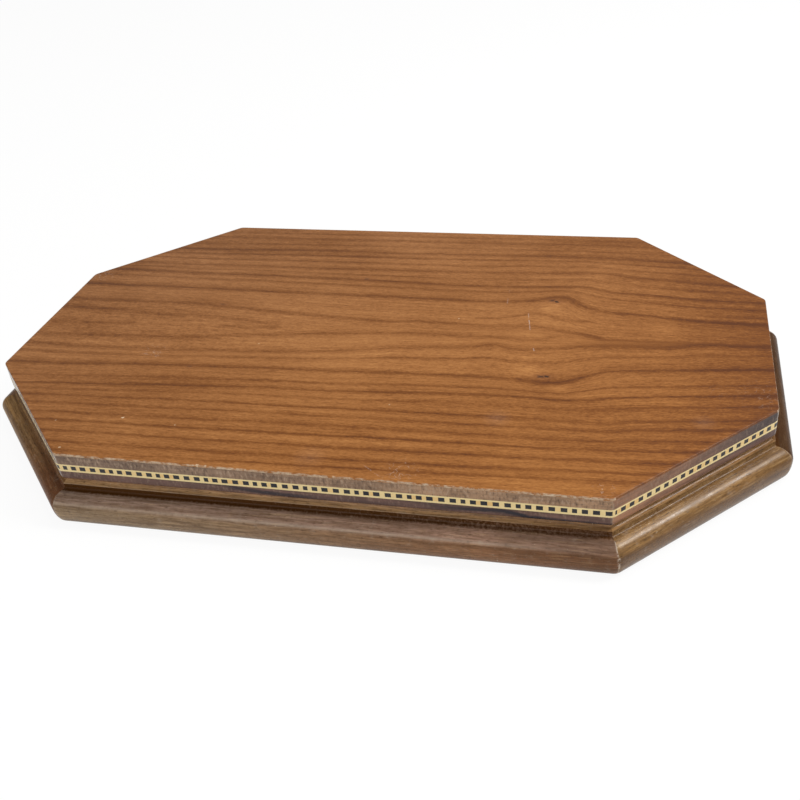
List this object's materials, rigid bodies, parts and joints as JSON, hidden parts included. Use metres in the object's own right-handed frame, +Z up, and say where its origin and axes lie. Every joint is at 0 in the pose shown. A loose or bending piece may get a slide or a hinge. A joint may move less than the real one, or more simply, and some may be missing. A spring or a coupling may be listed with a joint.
{
  "type": "offering plate",
  "caption": "Octagonal wooden offering plate lying face down: veneered base, mitred walls with chequered inlay, and a moulded rim round a felt-lined dish.",
  "frame": {"origin": "on the surface that the rim rests on, under the middle of the plate", "axes": "+X along the plate's length, +Y from the pictured front to the back, +Z up from the rim to the base, because the plate lies face down"},
  "size_m": [0.372, 0.231, 0.033],
  "materials": {
    "veneer": "satin lacquered plain-sawn cherry veneer, worn along its edges",
    "wall": "satin lacquered walnut, with ebonised blocks in the chequer",
    "rim": "satin lacquered walnut",
    "inlay": "satin lacquered boxwood",
    "panel": "bare birch plywood",
    "spline": "bare beech",
    "felt": "wool felt"
  },
  "bodies": {
    "root": {"base_panel": "panel", "base_veneer": "veneer", "felt_lining": "felt", "wall_rail_front": "wall", "wall_rail_front_right": "wall", "wall_rail_right": "wall", "wall_rail_back_right": "wall", "wall_rail_back": "wall", "wall_rail_back_left": "wall", "wall_rail_left": "wall", "wall_rail_front_left": "wall", "inlay_band_front": "inlay", "inlay_band_front_right": "inlay", "inlay_band_right": "inlay", "inlay_band_back_right": "inlay", "inlay_band_back": "inlay", "inlay_band_back_left": "inlay", "inlay_band_left": "inlay", "inlay_band_front_left": "inlay", "rim_moulding_front": "rim", "rim_moulding_front_right": "rim", "rim_moulding_right": "rim", "rim_moulding_back_right": "rim", "rim_moulding_back": "rim", "rim_moulding_back_left": "rim", "rim_moulding_left": "rim", "rim_moulding_front_left": "rim", "rim_spline_front_to_front_right": "spline", "rim_spline_front_right_to_right": "spline", "rim_spline_right_to_back_right": "spline", "rim_spline_back_right_to_back": "spline", "rim_spline_back_to_back_left": "spline", "rim_spline_back_left_to_left": "spline", "rim_spline_left_to_front_left": "spline", "rim_spline_front_left_to_front": "spline"}
  },
  "joints": []
}
